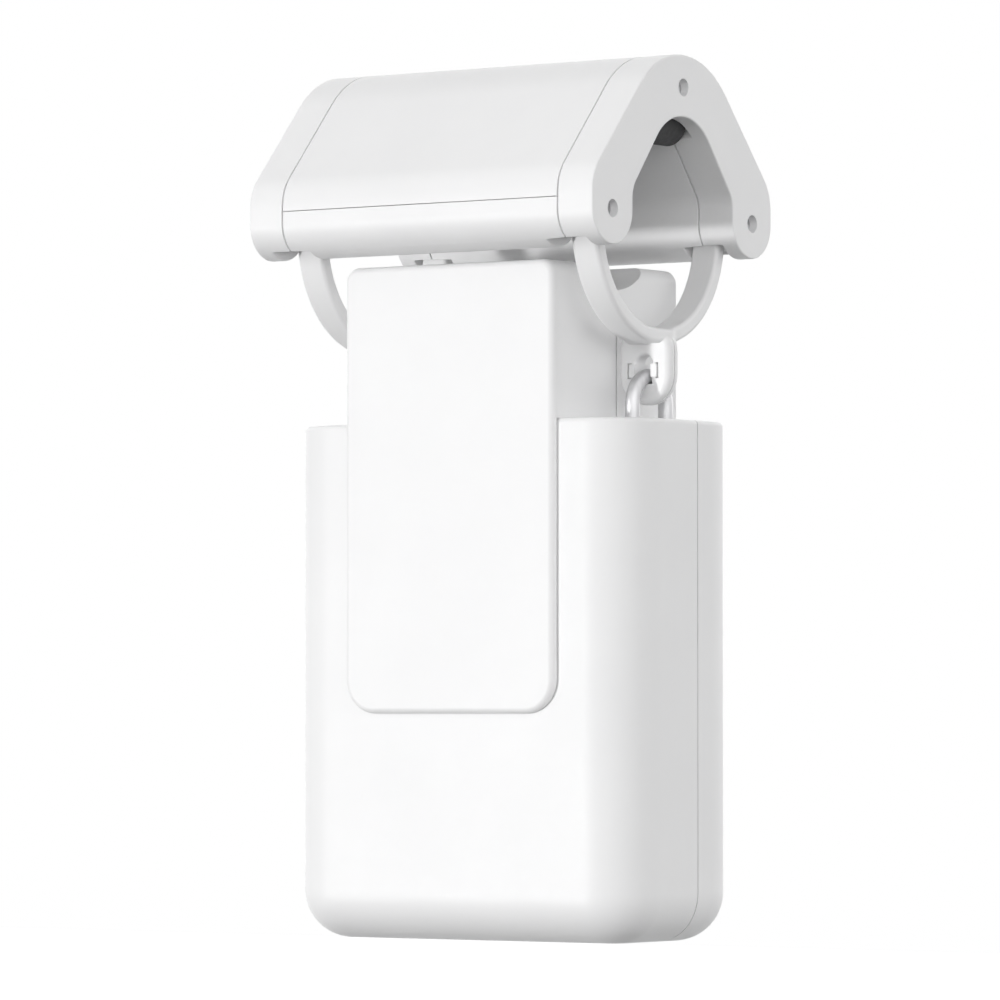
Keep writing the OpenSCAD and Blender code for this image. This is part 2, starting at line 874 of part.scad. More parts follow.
module front_panel() {
    half = panel_w / 2;
    bottom = panel_top - panel_h;
    color(white)
        along_y(panel_front_y, panel_back_y)
            union() {
                translate([-half, bottom + panel_r])
                    square([panel_w, panel_h - panel_r - panel_top_r]);
                translate([-half + panel_r, bottom])
                    square([panel_w - 2 * panel_r, panel_r + eps]);
                translate([-half + panel_top_r, panel_top - panel_top_r - eps])
                    square([panel_w - 2 * panel_top_r, panel_top_r + eps]);
                for (side = [-1, 1]) {
                    translate([side * (half - panel_r), bottom + panel_r])
                        circle(r = panel_r);
                    translate([side * (half - panel_top_r), panel_top - panel_top_r])
                        circle(r = panel_top_r);
                }
            }
}

// The whole neck: a hollow box with a cradle for the rod, a wheel slot and a spigot into the case
module neck_body() {
    slot_half = sqrt(pow(wheel_edge_r, 2) - pow(cradle_r + wall + wheel_z, 2)) + 1;
    difference() {
        union() {
            box([-neck_half, -case_front, case_top + seam_gap], [neck_half, neck_back, panel_top]);
            box([-spigot_half, -spigot_front, spigot_bottom], [spigot_half, spigot_back, case_top + 1]);
        }
        difference() {
            box([-neck_in_half, wall - case_front, case_top + seam_gap + wall],
                [neck_in_half, neck_back - wall, panel_top - wall]);
            bar_x(cradle_r + wall, -neck_half, neck_half, 0, 0);
        }
        box([spigot_t - spigot_half, spigot_t - spigot_front, spigot_bottom - 1],
            [spigot_half - spigot_t, spigot_back - spigot_t, case_top + seam_gap + wall + 1]);
        bar_x(cradle_r, -panel_w, panel_w, 0, 0);
        box([-slot_half, -wheel_w / 2 - 1, -cradle_r - 2 * wall], [slot_half, wheel_w / 2 + 1, 0]);
    }
}

module neck_front_shell() {
    color(white)
        intersection() {
            neck_body();
            box([-panel_w, -2 * case_front, spigot_bottom - 1], [panel_w, neck_seam_y, 0]);
        }
}

module neck_rear_shell() {
    color(white)
        intersection() {
            neck_body();
            box([-panel_w, neck_seam_y + eps, spigot_bottom - 1], [panel_w, 2 * neck_back, 0]);
        }
}

// Drive

module plate(y, bottom, half) {
    along_y(y, y + plate_t)
        translate([-half, bottom])
            square([2 * half, plate_top - bottom]);
}

module standoff_holes(y, zs) {
    for (side = [-1, 1], z = zs)
        bar_y(1 + press, y - 1, y + plate_t + 1, side * standoff_x, z);
}

module gear_plate_front() {
    color(grey)
        difference() {
            plate(front_y, front_plate_bottom, plate_half_w);
            bar_y(bush_r + press, front_y - 1, front_y + plate_t + 1, 0, wheel_z);
            standoff_holes(front_y, [standoff_top_z, front_plate_bottom + 4]);
        }
}

module gear_plate_mid() {
    color(grey)
        difference() {
            plate(mid_y, mid_plate_bottom, plate_half_w);
            bar_y(bush_r + 1, mid_y - 1, mid_y + plate_t + 1, 0, wheel_z);
            for (z = [second_z, first_z])
                bar_y(gear_axle_r + press, mid_y - 1, mid_y + plate_t + 1, 0, z);
            bar_y(motor_boss_r + press, mid_y - 1, mid_y + plate_t + 1, 0, motor_z);
            standoff_holes(mid_y, [standoff_top_z, front_plate_bottom + 4, standoff_low_z]);
        }
}

module gear_plate_rear() {
    color(grey)
        difference() {
            plate(rear_y, rear_plate_bottom, plate_half_w);
            bar_y(bush_r + press, rear_y - 1, rear_y + plate_t + 1, 0, wheel_z);
            for (z = [second_z, first_z])
                bar_y(gear_axle_r + press, rear_y - 1, rear_y + plate_t + 1, 0, z);
            standoff_holes(rear_y, [standoff_top_z, standoff_low_z]);
        }
}

// Round standoffs with a thin tenon at each end that fits the plates
module standoff(y0, y1, x, z) {
    bar_y(standoff_r, y0, y1, x, z);
    bar_y(1, y0 - plate_t / 2, y1 + plate_t / 2, x, z);
}

module plate_standoffs() {
    color(steel)
        for (side = [-1, 1]) {
            for (z = [standoff_top_z, front_plate_bottom + 4])
                standoff(front_y + plate_t, mid_y, side * standoff_x, z);
            for (z = [standoff_top_z, standoff_low_z])
                standoff(mid_y + plate_t, rear_y, side * standoff_x, z);
        }
}

module gear_axles() {
    color(steel)
        for (z = [second_z, first_z])
            bar_y(gear_axle_r, mid_y, rear_y + plate_t, 0, z);
}

module wheel_bushes() {
    color("goldenrod")
        for (y = [front_y, rear_y])
            difference() {
                bar_y(bush_r, y, y + plate_t, 0, wheel_z);
                bar_y(wheel_shaft_r + fit, y - 1, y + plate_t + 1, 0, wheel_z);
            }
}

module motor() {
    color(steel)
        difference() {
            union() {
                bar_y(motor_r, mid_y - motor_len, mid_y, 0, motor_z);
                bar_y(motor_boss_r, mid_y - 1, mid_y + plate_t, 0, motor_z);
                bar_y(motor_boss_r + 1, mid_y - motor_len - 1.5, mid_y - motor_len + 1, 0, motor_z);
            }
            bar_y(motor_shaft_r + fit, mid_y - 2 * motor_len, mid_y + motor_len, 0, motor_z);
        }
}

module motor_shaft() {
    color(steel)
        bar_y(motor_shaft_r, mid_y - motor_len - 1.5, gear_y1 + gear_w, 0, motor_z);
}

module motor_pinion() {
    color("goldenrod")
        gear_y(motor_teeth, motor_module, 90, gear_y1, motor_z, motor_shaft_r + press);
}

// A large gear and a pinion on one hub
module cluster(teeth_1, module_1, tooth_1, teeth_2, module_2, tooth_2, z) {
    hub_r = gear_axle_r + 1;
    gear_y(teeth_1, module_1, tooth_1, gear_y1, z, gear_axle_r + fit);
    gear_y(teeth_2, module_2, tooth_2, gear_y2, z, gear_axle_r + fit);
    difference() {
        bar_y(hub_r, gear_y1 + gear_w / 2, gear_y2 + gear_w / 2, 0, z);
        bar_y(gear_axle_r + fit, gear_y1, gear_y2 + gear_w, 0, z);
    }
}

// A gap of the upper gear of each pair faces down to a tooth of the lower gear
module first_stage_gear() {
    color("ivory")
        cluster(first_teeth, motor_module, 270 + 180 / first_teeth,
            first_pinion_teeth, motor_module, 90, first_z);
}

module second_stage_gear() {
    color("ivory")
        cluster(second_pinion_teeth, wheel_module, 90,
            second_teeth, motor_module, 270 + 180 / second_teeth, second_z);
}

module wheel_gear() {
    color("ivory")
        gear_y(wheel_teeth, wheel_module, 270 + 180 / wheel_teeth, gear_y1, wheel_z, wheel_shaft_r + press);
}

module wheel_shaft() {
    color(steel)
        bar_y(wheel_shaft_r, front_y, rear_y + plate_t, 0, wheel_z);
}

// Round profile of the wheel about Y: a rim of the given radius at the middle, with a hollow tread
module wheel_form(rim_r, width) {
    translate([0, 0, wheel_z])
        rotate([90, 0, 0])
            rotate_extrude()
                difference() {
                    translate([0, -width / 2])
                        square([wheel_edge_r, width]);
                    translate([rim_r + groove_r, 0])
                        circle(r = groove_r);
                }
}

module drive_wheel_hub() {
    hub_bevel = 0.6;
    color(grey)
        difference() {
            bar_y(wheel_r - wheel_tyre, -wheel_w / 2 + hub_bevel, wheel_w / 2 - hub_bevel, 0, wheel_z);
            bar_y(wheel_shaft_r + press, -wheel_w, wheel_w, 0, wheel_z);
        }
}

module drive_wheel_tyre() {
    color(dark)
        difference() {
            wheel_form(wheel_r, wheel_w);
            bar_y(wheel_r - wheel_tyre + press, -wheel_w, wheel_w, 0, wheel_z);
        }
}

// Power and control

module battery_cells() {
    color("steelblue")
        for (y = cell_ys)
            bar_x(cell_r, -cell_len / 2, cell_len / 2, y, cell_z);
}

module battery_tray() {
    color(grey)
        difference() {
            union() {
                box([-tray_half, cell_ys[0] - tray_side, board_top],
                    [tray_half, cell_ys[1] + tray_side, cell_z - 4]);
                for (side = [-1, 1]) {
                    box([min(side * (tray_half - tray_end_t), side * tray_half), cell_ys[0] - 4, board_top],
                        [max(side * (tray_half - tray_end_t), side * tray_half), cell_ys[1] + 4, cell_z + 4]);
                    box([min(side * leg_x, side * (leg_x + leg_w)), board_front - leg_w, inner_bottom],
                        [max(side * leg_x, side * (leg_x + leg_w)), board_front + leg_w, board_top + eps]);
                }
            }
            for (y = cell_ys)
                bar_x(cell_r + fit, -cell_len / 2 - stop_gap, cell_len / 2 + stop_gap, y, cell_z);
            box([-board_half - press, board_front - press, board_bottom - press],
                [board_half + press, board_front + board_t + press, board_top]);
        }
}

module circuit_board() {
    chip = [9, 1.2, 9];
    color("darkgreen") {
        box([-board_half, board_front, board_bottom], [board_half, board_front + board_t, board_top]);
        box([-chip.x / 2, board_front - chip.y, board_top - 2 * chip.z],
            [chip.x / 2, board_front + eps, board_top - chip.z]);
    }
}

module charging_port() {
    port_wall = 0.3;
    tongue = [6.7, 0.7, 4.5];
    bottom = case_bottom + button_sink;
    color(steel) {
        translate([0, 0, bottom])
            difference() {
                linear_extrude(port_h)
                    round_rect([-port_w / 2, port_y - port_t / 2], [port_w / 2, port_y + port_t / 2],
                        port_t / 2 - 0.1);
                translate([0, 0, -1])
                    linear_extrude(port_h)
                        round_rect([port_wall - port_w / 2, port_wall + port_y - port_t / 2],
                            [port_w / 2 - port_wall, port_y + port_t / 2 - port_wall],
                            port_t / 2 - port_wall - 0.1);
            }
        box([-tongue.x / 2, port_y - tongue.y / 2, bottom + port_h - 1 - tongue.z],
            [tongue.x / 2, port_y + tongue.y / 2, bottom + port_h - 1 + eps]);
    }
}

module set_switch() {
    color(dark) {
        box([button_x - switch_size.x / 2, board_front - switch_size.y, switch_bottom],
            [button_x + switch_size.x / 2, board_front, switch_bottom + switch_size.z]);
        translate([button_x, control_y, switch_bottom - plunger_h])
            cylinder(r = plunger_r, h = plunger_h + eps);
    }
}

module set_button() {
    color(white)
        translate([button_x, control_y, 0]) {
            translate([0, 0, case_bottom + button_sink])
                cylinder(r = button_r, h = button_top - case_bottom - button_sink);
            translate([0, 0, button_top - flange_h])
                cylinder(r = button_r + button_flange, h = flange_h);
        }
}

module light_pipe() {
    light_h = 5.5;
    color("lightcyan")
        translate([light_x, control_y, 0]) {
            translate([0, 0, case_bottom + button_sink])
                cylinder(r = light_r, h = light_h);
            translate([0, 0, inner_bottom])
                cylinder(r = light_r + 0.6, h = 1);
        }
}

saddle_cover();
saddle_chassis();
end_cap_left();
end_cap_right();
end_cap_screws();
idler_axles();
idler_core_left();
idler_tyre_left();
idler_core_right();
idler_tyre_right();
hoop_left();
hoop_right();
hook_left();
hook_right();
hook_yokes();
hook_springs();
case_front_shell();
case_rear_shell();
case_screws();
front_panel();
neck_front_shell();
neck_rear_shell();
hook_guide_left();
hook_guide_right();
gear_plate_front();
gear_plate_mid();
gear_plate_rear();
plate_standoffs();
gear_axles();
wheel_bushes();
motor();
motor_shaft();
motor_pinion();
first_stage_gear();
second_stage_gear();
wheel_gear();
wheel_shaft();
drive_wheel_hub();
drive_wheel_tyre();
battery_cells();
battery_tray();
circuit_board();
charging_port();
set_switch();
set_button();
light_pipe();
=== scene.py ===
"""Studio scene of a curtain robot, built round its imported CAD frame.

Lengths of the pieces are written in millimetres.
"""

import math

import bmesh
import bpy
from mathutils import Matrix, Vector


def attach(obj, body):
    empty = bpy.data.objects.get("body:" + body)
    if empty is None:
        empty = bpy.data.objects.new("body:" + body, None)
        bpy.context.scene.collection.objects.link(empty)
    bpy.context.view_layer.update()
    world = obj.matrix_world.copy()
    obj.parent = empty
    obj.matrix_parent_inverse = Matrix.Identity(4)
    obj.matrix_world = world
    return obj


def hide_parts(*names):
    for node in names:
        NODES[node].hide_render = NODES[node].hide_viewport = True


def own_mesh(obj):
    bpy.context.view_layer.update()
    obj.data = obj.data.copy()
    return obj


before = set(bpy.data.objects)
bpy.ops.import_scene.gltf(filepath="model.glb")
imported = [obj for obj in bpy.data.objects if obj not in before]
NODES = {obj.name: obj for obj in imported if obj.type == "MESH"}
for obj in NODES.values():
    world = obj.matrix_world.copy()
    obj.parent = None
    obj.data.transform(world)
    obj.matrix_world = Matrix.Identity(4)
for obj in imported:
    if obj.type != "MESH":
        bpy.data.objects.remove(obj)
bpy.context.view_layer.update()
MM = 0.001

# Sizes that the dressed pieces share with the solids
HOOP_X = 34.5
CORE_HALF = 34.5
SADDLE_HALF = 43.0
SEAM_Z = 1.3
LOBE = (25.5, -1.2)
TAB_BOTTOM = -39.4
HOOP_BOTTOM = -27.1
CASE_HALF = 43.5
CASE_TOP = -42.5
CASE_BOTTOM = -148.5
CASE_FRONT = -20.7
CASE_BACK = 23.4
CASE_SEAM = 3.8
FRONT_R = 12.0
BACK_R = 14.0
BASE_R = 10.0
WALL = 2.2
NECK_HALF = 25.7
NECK_BACK = 23.1
NECK_SEAM = 0.7
PANEL_TOP = -10.3
HOOK_Y = 6.0
YOKE_TOP = -76.7
SPRING_TOP = -50.7


# Materials

class Shader:
    """A Principled material with helpers for its texture nodes."""

    def __init__(self, name, **sockets):
        self.material = bpy.data.materials.new(name)
        self.material.use_nodes = True
        self.tree = self.material.node_tree
        self.bsdf = self.tree.nodes["Principled BSDF"]
        for socket, value in sockets.items():
            self.bsdf.inputs[socket.replace("_", " ")].default_value = value

    def add(self, kind, **values):
        node = self.tree.nodes.new(kind)
        for key, value in values.items():
            setattr(node, key, value)
        return node

    def link(self, source, target):
        self.tree.links.new(source, target)

    def position(self, scale):
        """Object position in metres, times a scale for each axis."""
        coords = self.add("ShaderNodeTexCoord")
        mapping = self.add("ShaderNodeMapping")
        mapping.inputs["Scale"].default_value = scale
        self.link(coords.outputs["Object"], mapping.inputs["Vector"])
        return mapping.outputs["Vector"]

    def noise(self, scale, detail=2.0, stretch=(1, 1, 1)):
        node = self.add("ShaderNodeTexNoise")
        node.inputs["Scale"].default_value = scale
        node.inputs["Detail"].default_value = detail
        self.link(self.position(stretch), node.inputs["Vector"])
        return node.outputs["Fac"]

    def ramp(self, fac, stops):
        """A colour ramp with (position, colour) stops."""
        node = self.add("ShaderNodeValToRGB")
        while len(node.color_ramp.elements) < len(stops):
            node.color_ramp.elements.new(0.5)
        for element, (place, colour) in zip(node.color_ramp.elements, stops):
            element.position = place
            element.color = (*colour, 1)
        self.link(fac, node.inputs["Fac"])
        return node.outputs["Color"]

    def spread(self, fac, low, high):
        """Maps 0.3..0.7 of a noise to low..high."""
        node = self.add("ShaderNodeMapRange")
        node.inputs["From Min"].default_value = 0.3
        node.inputs["From Max"].default_value = 0.7
        node.inputs["To Min"].default_value = low
        node.inputs["To Max"].default_value = high
        self.link(fac, node.inputs["Value"])
        return node.outputs["Result"]

    def bump(self, height, strength, depth_mm):
        node = self.add("ShaderNodeBump")
        node.inputs["Strength"].default_value = strength
        node.inputs["Distance"].default_value = depth_mm * MM
        self.link(height, node.inputs["Height"])
        self.link(node.outputs["Normal"], self.bsdf.inputs["Normal"])

    def mottle(self, dark, light, scale=40.0):
        """Slow colour variation between two close tones."""
        colour = self.ramp(self.noise(scale, 4.0), [(0.3, dark), (0.7, light)])
        self.link(colour, self.bsdf.inputs["Base Color"])

    def gloss(self, low, high, scale):
        self.link(self.spread(self.noise(scale, 3.0), low, high), self.bsdf.inputs["Roughness"])


def plastic(name, dark, light, rough, grain, strength):
    """Moulded plastic: two close tones, uneven gloss and a fine spark-eroded grain."""
    shader = Shader(name)
    shader.mottle(dark, light)
    shader.gloss(rough - 0.05, rough + 0.05, 900.0)
    shader.bump(shader.noise(grain, 2.0), strength, 0.05)
    return shader.material


def metal(name, dark, light, rough, stretch, strength):
    """Drawn or turned metal: streaks along one direction in tone, gloss and height."""
    shader = Shader(name, Metallic=1.0)
    streaks = shader.noise(700.0, 4.0, stretch)
    shader.link(shader.ramp(streaks, [(0.3, dark), (0.7, light)]), shader.bsdf.inputs["Base Color"])
    shader.link(shader.spread(streaks, rough - 0.06, rough + 0.06), shader.bsdf.inputs["Roughness"])
    shader.bump(streaks, strength, 0.03)
    return shader.material


def rubber(name):
    """Dark rubber with a fine dusty grain."""
    shader = Shader(name)
    shader.mottle((0.020, 0.020, 0.021), (0.034, 0.034, 0.035), 150.0)
    shader.gloss(0.62, 0.80, 1200.0)
    shader.bump(shader.noise(3000.0, 3.0), 0.25, 0.08)
    return shader.material


def circuit():
    """Solder mask over copper: straight tracks in two greens, with a satin gloss."""
    shader = Shader("board")
    bricks = shader.add("ShaderNodeTexBrick", offset=0.37, squash=1.6, squash_frequency=3)
    bricks.inputs["Scale"].default_value = 1.0
    bricks.inputs["Color1"].default_value = (0.010, 0.085, 0.032, 1)
    bricks.inputs["Color2"].default_value = (0.014, 0.110, 0.042, 1)
    bricks.inputs["Mortar"].default_value = (0.030, 0.190, 0.075, 1)
    bricks.inputs["Mortar Size"].default_value = 0.06
    bricks.inputs["Brick Width"].default_value = 2.6
    bricks.inputs["Row Height"].default_value = 0.7
    coords = shader.add("ShaderNodeTexCoord")
    mapping = shader.add("ShaderNodeMapping")
    mapping.inputs["Rotation"].default_value = (math.pi / 2, 0, 0)
    mapping.inputs["Scale"].default_value = (500, 500, 500)
    shader.link(coords.outputs["Object"], mapping.inputs["Vector"])
    shader.link(mapping.outputs["Vector"], bricks.inputs["Vector"])
    shader.link(bricks.outputs["Color"], shader.bsdf.inputs["Base Color"])
    shader.gloss(0.30, 0.42, 600.0)
    shader.bump(bricks.outputs["Fac"], 0.3, 0.03)
    return shader.material


def clear():
    """Frosted light pipe."""
    shader = Shader("clear_plastic", IOR=1.49)
    shader.bsdf.inputs["Transmission Weight"].default_value = 0.85
    shader.mottle((0.86, 0.90, 0.92), (0.93, 0.96, 0.97), 300.0)
    shader.gloss(0.18, 0.34, 1500.0)
    shader.bump(shader.noise(2500.0), 0.1, 0.03)
    return shader.material


WHITE = plastic("white_plastic", (0.862, 0.862, 0.866), (0.886, 0.886, 0.888), 0.46, 2600.0, 0.16)
INNER = plastic("inner_plastic", (0.60, 0.60, 0.615), (0.66, 0.66, 0.67), 0.52, 1800.0, 0.18)
GEAR = plastic("gear_plastic", (0.76, 0.73, 0.65), (0.82, 0.79, 0.71), 0.40, 1500.0, 0.10)
DARK = plastic("dark_plastic", (0.020, 0.020, 0.022), (0.032, 0.032, 0.034), 0.45, 2000.0, 0.15)
WRAP = plastic("battery_wrap", (0.030, 0.150, 0.330), (0.045, 0.190, 0.390), 0.30, 900.0, 0.05)
HOOK = metal("hook_steel", (0.54, 0.54, 0.55), (0.68, 0.68, 0.69), 0.44, (1, 1, 0.12), 0.12)
STEEL = metal("steel", (0.50, 0.50, 0.51), (0.66, 0.66, 0.67), 0.30, (0.15, 1, 1), 0.04)
BRASS = metal("brass", (0.58, 0.40, 0.13), (0.72, 0.52, 0.20), 0.28, (1, 0.2, 1), 0.08)
RUBBER = rubber("dark_rubber")
BOARD = circuit()
CLEAR = clear()


# Pieces

def link_object(name, data):
    thing = bpy.data.objects.new(name, data)
    bpy.context.scene.collection.objects.link(thing)
    return thing


def mesh_object(name, bm):
    """Makes an object of a bmesh, which is used up."""
    mesh = bpy.data.meshes.new(name)
    bm.to_mesh(mesh)
    bm.free()
    return link_object(name, mesh)


def soften(bm, fillet):
    """Marks each sharp edge with its fillet in millimetres, given its middle, and returns the largest."""
    weight = bm.edges.layers.float.new("bevel_weight_edge")
    largest = 0.0
    radii = {}
    for face in bm.faces:
        face.smooth = True
    for edge in bm.edges:
        if len(edge.link_faces) != 2:
            continue
        angle = edge.calc_face_angle(0.0)
        if angle < math.radians(28):
            continue
        middle = (edge.verts[0].co + edge.verts[1].co) / 2 / MM
        r = fillet(middle, edge)
        radii[edge] = r
        largest = max(largest, r)
        edge.smooth = r > 0
    for edge, r in radii.items():
        edge[weight] = r / largest if largest else 0.0
    return largest


def finish_piece(name, bm, fillet, segments=4):
    """Makes an object of a bmesh, with its sharp edges rounded."""
    largest = soften(bm, fillet)
    piece = mesh_object(name, bm)
    if largest:
        bevel = piece.modifiers.new("fillets", "BEVEL")
        bevel.limit_method = "WEIGHT"
        bevel.width = largest * MM
        bevel.segments = segments
        bevel.use_clamp_overlap = False
        bevel.loop_slide = False
        bevel.miter_outer = "MITER_ARC"
    normals = piece.modifiers.new("normals", "WEIGHTED_NORMAL")
    normals.keep_sharp = True
    return piece


def cad_bmesh(node):
    """A welded copy of a CAD node with flat faces joined up."""
    source = NODES[node]
    bm = bmesh.new()
    bm.from_mesh(source.data)
    bm.transform(source.matrix_world)
    bmesh.ops.remove_doubles(bm, verts=bm.verts[:], dist=2e-6)
    bmesh.ops.dissolve_limit(bm, angle_limit=math.radians(0.4), verts=bm.verts[:], edges=bm.edges[:])
    return bm


def place(piece, body, material, slot, *nodes):
    """Gives a piece its material and body, and hides the nodes that it stands for."""
    piece.data.materials.clear()
    piece.data.materials.append(material)
    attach(piece, body)
    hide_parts(*nodes)


def dress(node, body, material, slot, fillet, segments=4, shape=None):
    """A copy of a CAD node with rounded edges stands for the node. Shape may change the copy first."""
    bm = cad_bmesh(node)
    if shape:
        shape(bm)
    piece = finish_piece(node + "_dressed", bm, fillet, segments)
    place(piece, body, material, slot, node)


def shift_plane(bm, axis, at, by):
    """Moves the points of one plane along its axis, to open a seam."""
    for vert in bm.verts:
        if near(vert.co[axis] / MM, at):
            vert.co[axis] += by * MM


def paint(material, *nodes):
    """CAD nodes whose shape is right keep it and get a material."""
    for node in nodes:
        for entry in NODES[node].material_slots:
            entry.link = "OBJECT"
            entry.material = material


def near(a, b, tolerance=0.03):
    return abs(a - b) < tolerance


# Saddle

CAP_SEAM = 0.18
COVER_SEAM = 0.09
TOP_SCREW_Z = 25.0
POCKET_HALF = 12.1
POCKET_Z = (15.0, 23.5)
SLOT_END = (29.75, -1.3)


def core_shape(bm):
    for side in (-1, 1):
        shift_plane(bm, 0, side * CORE_HALF, -side * CAP_SEAM)


def cover_shape(bm):
    core_shape(bm)
    shift_plane(bm, 2, SEAM_Z, -COVER_SEAM)


def cap_shape(bm):
    for side in (-1, 1):
        shift_plane(bm, 0, side * CORE_HALF, side * CAP_SEAM)


def cover_fillet(p, edge):
    return 0.1


def in_pocket(p):
    """The pockets of the idlers and the ends of the hoop slots keep their plain edges."""
    pocket = abs(p.y) < POCKET_HALF and POCKET_Z[0] < p.z < POCKET_Z[1]
    return pocket or near(abs(p.x), SLOT_END[0]) and p.z > SLOT_END[1]


def chassis_fillet(p, edge):
    if in_pocket(p):
        return 0.0
    return 0.3 if p.z < SEAM_Z - 1 and abs(p.x) < CORE_HALF - 1 else 0.12


def cap_fillet(p, edge):
    hole = min(math.hypot(p.y, p.z - TOP_SCREW_Z), math.hypot(abs(p.y) - LOBE[0], p.z - LOBE[1]))
    if near(abs(p.x), SADDLE_HALF):
        return 0.06 if hole < 2.0 else 0.35
    if hole < 2.0 or in_pocket(p):
        return 0.0
    return 0.06 if near(abs(p.x), CORE_HALF + CAP_SEAM) else 0.3


dress("saddle_cover", "hanger", WHITE, "white_plastic", cover_fillet, 2, cover_shape)
dress("saddle_chassis", "hanger", WHITE, "white_plastic", chassis_fillet, 3, core_shape)
for side in ("left", "right"):
    dress("end_cap_" + side, "hanger", WHITE, "white_plastic", cap_fillet, 3, cap_shape)


# Mesh tools

def arc(centre, r, degrees):
    """Points of a circle in a plane, at a list of angles."""
    turns = [math.radians(angle) for angle in degrees]
    return [(centre[0] + r * math.cos(turn), centre[1] + r * math.sin(turn)) for turn in turns]


def add_points(bm, points):
    return [bm.verts.new(Vector(point) * MM) for point in points]


def skin(bm, rings):
    """Joins rings of points into a closed tube with flat ends."""
    count = len(rings[0])
    for low, high in zip(rings, rings[1:]):
        for i in range(count):
            bm.faces.new((low[i], low[(i + 1) % count], high[(i + 1) % count], high[i]))
    bm.faces.new(reversed(rings[0]))
    bm.faces.new(rings[-1])


def add_bar(bm, axis, low, high, outline):
    """A closed bar along an axis, from low to high. The outline gives the other two coordinates."""
    rings = [[(*point[:axis], at, *point[axis:]) for point in outline] for at in (low, high)]
    skin(bm, [add_points(bm, ring) for ring in rings])


def add_rod(bm, axis, low, high, centre, r, sides=48):
    """A closed round bar along an axis, from low to high. Centre gives the other two coordinates."""
    turns = [2 * math.pi * i / sides for i in range(sides)]
    outline = [(centre[0] + r * math.cos(turn), centre[1] + r * math.sin(turn)) for turn in turns]
    add_bar(bm, axis, low, high, outline)


def add_block(bm, low, high):
    """A box between two corners."""
    size = [(b - a) * MM for a, b in zip(low, high)]
    middle = Vector([(a + b) / 2 * MM for a, b in zip(low, high)])
    bmesh.ops.create_cube(bm, size=1.0, matrix=Matrix.Translation(middle) @ Matrix.Diagonal((*size, 1)))


def tool(name, shape, *values):
    """A mesh object for a cut or a union, filled by a function that adds its shape to a bmesh."""
    bm = bmesh.new()
    shape(bm, *values)
    bmesh.ops.recalc_face_normals(bm, faces=bm.faces[:])
    return mesh_object(name, bm)


def combine(base, steps):
    """The bmesh of a base object after a list of (operation, tool) steps. The objects are used up."""
    for operation, other in steps:
        modifier = base.modifiers.new(operation, "BOOLEAN")
        modifier.operation = operation
        modifier.solver = "EXACT"
        modifier.object = other
    bpy.context.view_layer.update()
    solved = base.evaluated_get(bpy.context.evaluated_depsgraph_get())
    bm = bmesh.new()
    bm.from_mesh(solved.to_mesh())
    solved.to_mesh_clear()
    bmesh.ops.remove_doubles(bm, verts=bm.verts[:], dist=2e-6)
    bmesh.ops.dissolve_limit(bm, angle_limit=math.radians(0.1), verts=bm.verts[:], edges=bm.edges[:])
    for used in [base] + [other for operation, other in steps]:
        bpy.data.objects.remove(used)
    return bm


# Hoops

HOOP_R = 22.2
HOOP_Z = -3.3
EYE_HALF = 3.25
EYE_R = 3.6
EYE_BORE_R = 1.3
TAB_HALF = 2.0
TAB_EDGE = 1.3
KEY_HALF = 1.95
KEY_TOP = -29.2
BAR_TOP = -35.1
BLOCK_LOW = -33.75
BLOCK_TOP = -31.1
BLOCK_HALF = 3.3
BLOCK_OUT = 2.4


def strap_section():
    """Points (across, outward) of the strap's section: a shallow roof outside and rounded edges."""
    points = []
    for centre, r, start in (((2.25, 0.5), 1.0, 90), ((2.35, -0.7), 0.9, 0)):
        points += arc(centre, r, [start - 15 * step for step in range(7)])
    mirrored = [(-x, out) for x, out in reversed(points)]
    return [(0.0, 1.6)] + points + [(0.0, -1.6)] + mirrored


def strap(bm, x):
    """The strap of a hoop, swept round the rod, and wider where it meets the tab."""
    angles = [180 + 2 * i for i in range(91)]
    path = [(y, z, angle) for (y, z), angle in zip(arc((0.0, HOOP_Z), HOOP_R, angles), angles)]
    path = [(-HOOP_R, LOBE[1], 180.0)] + path + [(HOOP_R, LOBE[1], 360.0)]
    rings = []
    for y, z, angle in path:
        turn = math.radians(angle)
        low = max(1 - abs(angle - 270) / 14, 0.0)
        flare = 1 + 0.7 * low * low * (3 - 2 * low)
        rings.append(add_points(bm, [(x + across * flare, y + out * math.cos(turn), z + out * math.sin(turn))
                                     for across, out in strap_section()]))
    skin(bm, rings)


def lobe_rods(bm, x, half, r):
    """Two round bars through the eyes of a hoop."""
    for side in (-1, 1):
        add_rod(bm, 0, x - half, x + half, (side * LOBE[0], LOBE[1]), r)


def tab(bm, x):
    """The oval tab below a hoop, with a full edge and a parting groove round its rim."""
    arcs = ((180, 180, 0.0, TAB_BOTTOM + 6.25, 6.25, 40),
            (0, 90, 2.25, -28.1, 4.0, 14),
            (90, 90, -2.25, -28.1, 4.0, 14))
    turns = [math.radians(15 * i) for i in range(7)]
    layers = [(-TAB_HALF + TAB_EDGE - TAB_EDGE * math.cos(turn), TAB_EDGE - TAB_EDGE * math.sin(turn))
              for turn in turns]
    layers += [(-0.18, 0.0), (-0.14, 0.3), (0.0, 0.3)]
    layers += [(-y, inset) for y, inset in reversed(layers[:-1])]
    rings = []
    for y, inset in layers:
        outline = []
        for start, span, across, z, r, steps in arcs:
            angles = [start + span * step / steps for step in range(steps + 1)]
            outline += arc((x + across, z), r - inset, angles)
        rings.append(add_points(bm, [(px, y, pz) for px, pz in outline]))
    skin(bm, rings)


def tab_block(bm, x):
    """The low block that stands out of both faces of a tab."""
    add_block(bm, (x - BLOCK_HALF, -BLOCK_OUT, BLOCK_LOW), (x + BLOCK_HALF, BLOCK_OUT, BLOCK_TOP))


